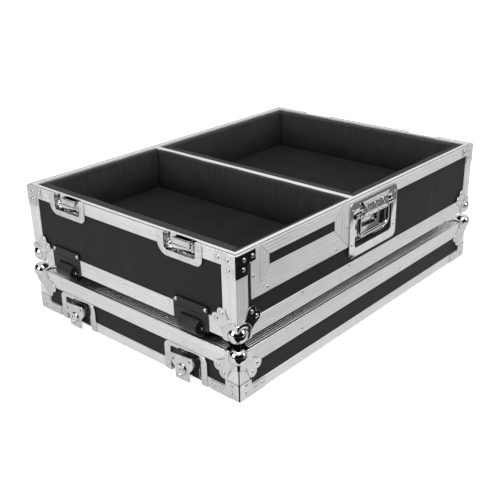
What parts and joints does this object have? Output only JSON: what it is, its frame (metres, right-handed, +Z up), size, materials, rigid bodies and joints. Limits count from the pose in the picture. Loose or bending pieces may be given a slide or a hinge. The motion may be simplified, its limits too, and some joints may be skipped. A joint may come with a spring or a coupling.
{
  "type": "dj mixer flight case",
  "caption": "Wheeled flight case for a mixer, with a foam-lined divided base standing on its own lid, twist latches, ball corners, sprung handles and a lift-out access panel.",
  "frame": {"origin": "the middle of the footprint, on the surface that the lid's rim stands on", "axes": "+X runs along the long sides, away from the wheels; +Y runs from the side with the access panel to the back; +Z is up"},
  "size_m": [0.8844, 0.622, 0.294],
  "materials": {
    "aluminium_extrusion": "satin, brushed along its length",
    "black_laminate": "matt textured laminate on plywood",
    "black_foam": "matt closed-cell foam",
    "zinc_plated_steel": "bright zinc",
    "chromed_steel": "polished",
    "black_steel": "semi-matt black paint",
    "black_rubber": "matt"
  },
  "bodies": {
    "lid": {"lid_edge_frame": "aluminium_extrusion", "lid_rim_frame": "aluminium_extrusion", "lid_top_panel": "black_laminate", "lid_wall_boards": "black_laminate", "lid_foam_pad": "black_foam", "lid_ball_corner_1": "zinc_plated_steel", "lid_ball_corner_2": "zinc_plated_steel", "lid_ball_corner_3": "zinc_plated_steel", "lid_ball_corner_4": "zinc_plated_steel", "lid_rim_bracket_1": "zinc_plated_steel", "lid_rim_bracket_2": "zinc_plated_steel", "lid_rim_bracket_3": "zinc_plated_steel", "lid_rim_bracket_4": "zinc_plated_steel", "latch_dish_1": "zinc_plated_steel", "latch_dish_2": "zinc_plated_steel", "latch_dish_3": "zinc_plated_steel", "latch_dish_4": "zinc_plated_steel"},
    "base": {"base_edge_frame": "aluminium_extrusion", "base_rim_frame": "aluminium_extrusion", "base_box": "black_laminate", "divider_board": "black_laminate", "divider_cap": "aluminium_extrusion", "near_foam_liner": "black_foam", "far_foam_liner": "black_foam", "access_opening_trim": "aluminium_extrusion", "base_ball_corner_1": "zinc_plated_steel", "base_ball_corner_2": "zinc_plated_steel", "base_ball_corner_3": "zinc_plated_steel", "base_ball_corner_4": "zinc_plated_steel", "base_top_brace_1": "zinc_plated_steel", "base_top_brace_2": "zinc_plated_steel", "base_top_brace_3": "zinc_plated_steel", "base_top_brace_4": "zinc_plated_steel", "catch_1": "zinc_plated_steel", "catch_2": "zinc_plated_steel", "catch_3": "zinc_plated_steel", "catch_4": "zinc_plated_steel", "front_handle_dish": "chromed_steel", "pull_handle_dish": "chromed_steel", "near_wheel_housing": "black_steel", "far_wheel_housing": "black_steel", "rubber_foot_1": "black_rubber", "rubber_foot_2": "black_rubber", "rubber_foot_3": "black_rubber", "rubber_foot_4": "black_rubber"},
    "access_panel": {"access_panel_trim": "aluminium_extrusion", "access_panel_board": "black_laminate", "access_panel_foam": "black_foam"},
    "front_bail": {"front_handle_bail": "chromed_steel"},
    "pull_bail": {"pull_handle_bail": "chromed_steel"},
    "near_roller": {"near_wheel_roller": "black_rubber"},
    "far_roller": {"far_wheel_roller": "black_rubber"},
    "hook_1": {"latch_hook_1": "zinc_plated_steel"},
    "hook_2": {"latch_hook_2": "zinc_plated_steel"},
    "hook_3": {"latch_hook_3": "zinc_plated_steel"},
    "hook_4": {"latch_hook_4": "zinc_plated_steel"},
    "wing_1": {"latch_wing_1": "chromed_steel"},
    "wing_2": {"latch_wing_2": "chromed_steel"},
    "wing_3": {"latch_wing_3": "chromed_steel"},
    "wing_4": {"latch_wing_4": "chromed_steel"}
  },
  "joints": [
    {"name": "base_lift", "type": "slide", "parent": "lid", "child": "base", "axis": [0, 0, 1], "range_m": [0, 0.25]},
    {"name": "access_panel_lift", "type": "slide", "parent": "base", "child": "access_panel", "axis": [0, 0, 1], "range_m": [0, 0.08]},
    {"name": "front_bail_hinge", "type": "hinge", "parent": "base", "child": "front_bail", "pos_m": [-0.004, -0.3008, 0.2555], "axis": [-1, 0, 0], "range_deg": [0, 90], "stiffness_Nm_per_rad": 0.08, "springref_deg": -17.19},
    {"name": "pull_bail_hinge", "type": "hinge", "parent": "base", "child": "pull_bail", "pos_m": [0.4258, 0, 0.2555], "axis": [0, -1, 0], "range_deg": [0, 90], "stiffness_Nm_per_rad": 0.08, "springref_deg": -17.19},
    {"name": "near_roller_spin", "type": "hinge", "parent": "base", "child": "near_roller", "pos_m": [-0.424, -0.185, 0.126], "axis": [0, 1, 0], "continuous": true},
    {"name": "far_roller_spin", "type": "hinge", "parent": "base", "child": "far_roller", "pos_m": [-0.424, 0.185, 0.126], "axis": [0, 1, 0], "continuous": true},
    {"name": "hook_1_slide", "type": "slide", "parent": "lid", "child": "hook_1", "axis": [0, 0, 1], "range_m": [0, 0.0066]},
    {"name": "hook_2_slide", "type": "slide", "parent": "lid", "child": "hook_2", "axis": [0, 0, 1], "range_m": [0, 0.0066]},
    {"name": "hook_3_slide", "type": "slide", "parent": "lid", "child": "hook_3", "axis": [0, 0, 1], "range_m": [0, 0.0066]},
    {"name": "hook_4_slide", "type": "slide", "parent": "lid", "child": "hook_4", "axis": [0, 0, 1], "range_m": [0, 0.0066]},
    {"name": "wing_1_turn", "type": "hinge", "parent": "hook_1", "child": "wing_1", "pos_m": [-0.437, -0.1635, 0.024], "axis": [-1, 0, 0], "range_deg": [0, 200]},
    {"name": "wing_2_turn", "type": "hinge", "parent": "hook_2", "child": "wing_2", "pos_m": [-0.437, 0.1635, 0.024], "axis": [-1, 0, 0], "range_deg": [0, 200]},
    {"name": "wing_3_turn", "type": "hinge", "parent": "hook_3", "child": "wing_3", "pos_m": [0.437, -0.1635, 0.024], "axis": [1, 0, 0], "range_deg": [0, 200]},
    {"name": "wing_4_turn", "type": "hinge", "parent": "hook_4", "child": "wing_4", "pos_m": [0.437, 0.1635, 0.024], "axis": [1, 0, 0], "range_deg": [0, 200]}
  ],
  "couplings": [
    {"joint": "wing_1_turn", "follows": "hook_1_slide", "rad_per_m": 454.55},
    {"joint": "wing_2_turn", "follows": "hook_2_slide", "rad_per_m": 454.55},
    {"joint": "wing_3_turn", "follows": "hook_3_slide", "rad_per_m": 454.55},
    {"joint": "wing_4_turn", "follows": "hook_4_slide", "rad_per_m": 454.55}
  ]
}
